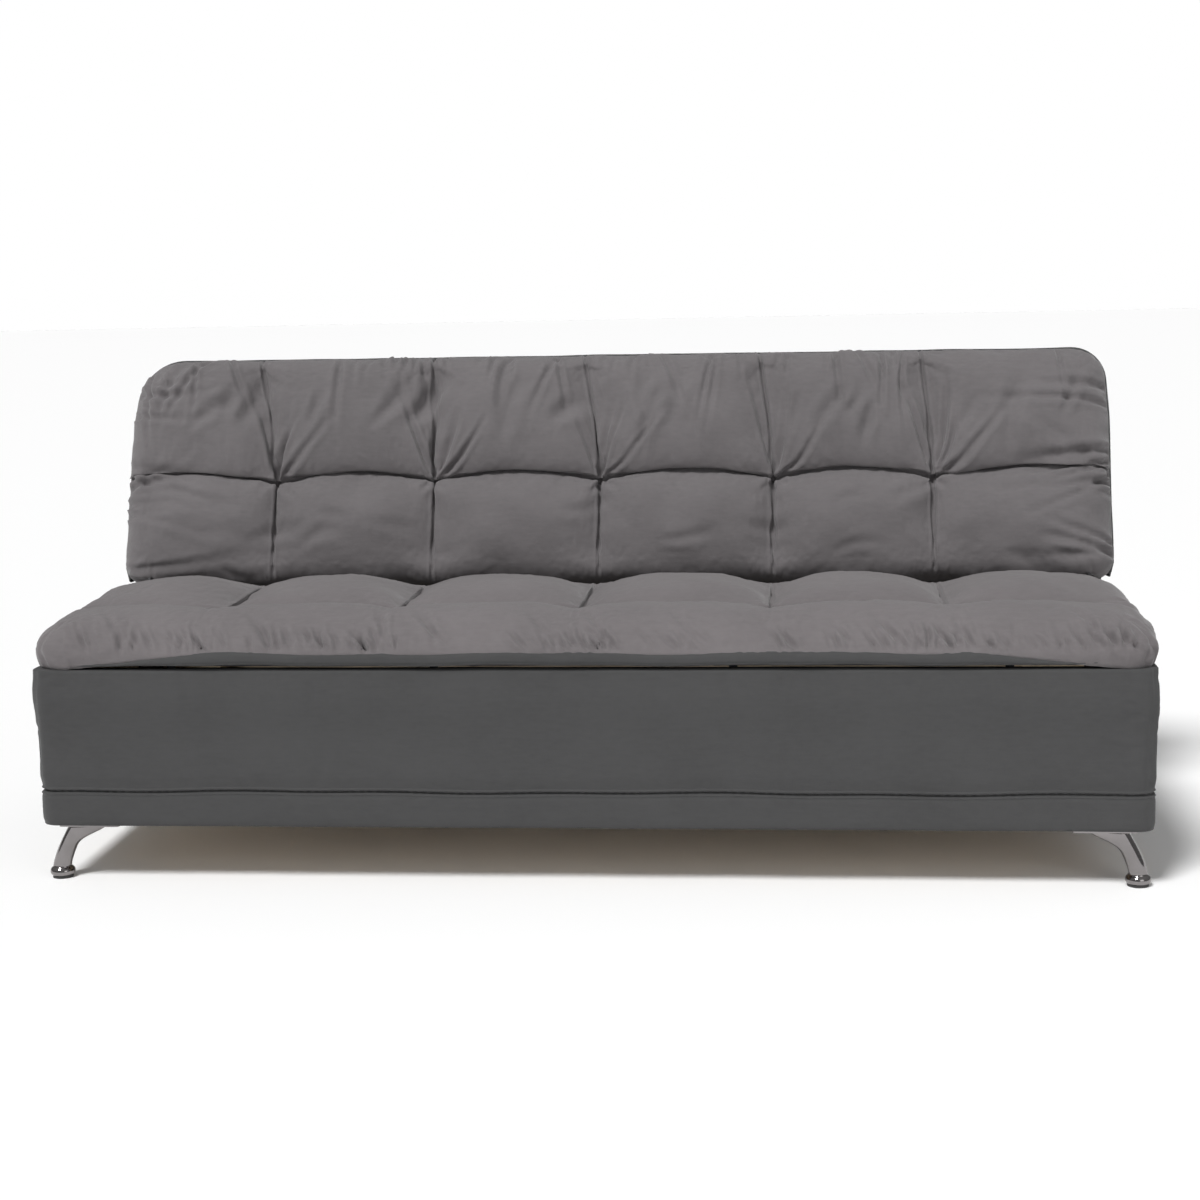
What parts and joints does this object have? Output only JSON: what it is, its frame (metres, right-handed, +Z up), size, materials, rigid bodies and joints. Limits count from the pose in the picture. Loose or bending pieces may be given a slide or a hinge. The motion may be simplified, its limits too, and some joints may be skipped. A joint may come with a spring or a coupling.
{
  "type": "futon sofa bed",
  "caption": "Armless click-clack sofa bed: tufted grey seat and back pads that fold flat over a padded box base with curved chrome legs.",
  "frame": {"origin": "on the floor, under the middle of the box that the whole sofa fits in, with the back upright", "axes": "+Z up, +X along the sofa to the right as seen from the front, -Y the way a sitter faces"},
  "size_m": [1.88, 0.7508, 0.8664],
  "materials": {
    "seat_fabric": "matte",
    "back_fabric": "matte",
    "base_fabric": "matte",
    "border_fabric": "matte",
    "rear_fabric": "matte",
    "dust_cloth": "matte",
    "wadding": "matte",
    "foam": "matte",
    "plywood": "matte",
    "timber": "matte",
    "chrome": "polished",
    "frame_paint": "satin",
    "zinc_steel": "satin",
    "spring_steel": "satin",
    "black_rubber": "matte",
    "black_plastic": "satin"
  },
  "bodies": {
    "base": {"base_front_board": "plywood", "base_rear_board": "plywood", "base_left_board": "plywood", "base_right_board": "plywood", "corner_blocks": "timber", "support_rails": "timber", "floor_bearers": "timber", "storage_floor": "plywood", "base_padding": "wadding", "base_cover": "base_fabric", "base_band": "base_fabric", "leg_front_left": "chrome", "leg_front_right": "chrome", "leg_rear_left": "chrome", "leg_rear_right": "chrome", "leg_pads": "black_rubber", "foot_glides": "black_plastic", "leg_screws": "zinc_steel", "base_bracket_left": "zinc_steel", "base_bracket_right": "zinc_steel", "pivot_pins": "zinc_steel", "pawl_pins": "zinc_steel", "pawl_springs": "spring_steel", "bracket_bolts": "zinc_steel", "seat_bumpers": "black_rubber", "back_bumpers": "black_rubber"},
    "seat": {"seat_front_rail": "frame_paint", "seat_rear_rail": "frame_paint", "seat_end_rail_left": "frame_paint", "seat_end_rail_right": "frame_paint", "seat_centre_rails": "frame_paint", "seat_slats": "plywood", "seat_foam": "foam", "seat_cushion": "seat_fabric", "seat_border_front": "border_fabric", "seat_border_left": "border_fabric", "seat_border_right": "border_fabric", "seat_dust_cloth": "dust_cloth", "seat_arm_left": "zinc_steel", "seat_arm_right": "zinc_steel", "seat_arm_bolts": "zinc_steel"},
    "back": {"back_top_rail": "frame_paint", "back_bottom_rail": "frame_paint", "back_end_rail_left": "frame_paint", "back_end_rail_right": "frame_paint", "back_centre_rails": "frame_paint", "back_slats": "plywood", "back_foam": "foam", "back_cushion": "back_fabric", "back_border_top": "border_fabric", "back_border_left": "border_fabric", "back_border_right": "border_fabric", "back_rear_cover": "rear_fabric", "back_arm_left": "zinc_steel", "back_arm_right": "zinc_steel", "back_arm_bolts": "zinc_steel"},
    "pawl_left": {"pawl_left": "zinc_steel"},
    "pawl_right": {"pawl_right": "zinc_steel"}
  },
  "joints": [
    {"name": "seat_lift", "type": "hinge", "parent": "base", "child": "seat", "pos_m": [0, 0.16658, 0.43], "axis": [-1, 0, 0], "range_deg": [0, 35]},
    {"name": "back_recline", "type": "hinge", "parent": "base", "child": "back", "pos_m": [0, 0.16658, 0.43], "axis": [-1, 0, 0], "range_deg": [0, 70]},
    {"name": "pawl_left_turn", "type": "hinge", "parent": "base", "child": "pawl_left", "pos_m": [0, 0.16658, 0.33], "axis": [1, 0, 0], "range_deg": [0, 7], "stiffness_Nm_per_rad": 0.5},
    {"name": "pawl_right_turn", "type": "hinge", "parent": "base", "child": "pawl_right", "pos_m": [0, 0.16658, 0.33], "axis": [1, 0, 0], "range_deg": [0, 7], "stiffness_Nm_per_rad": 0.5}
  ]
}
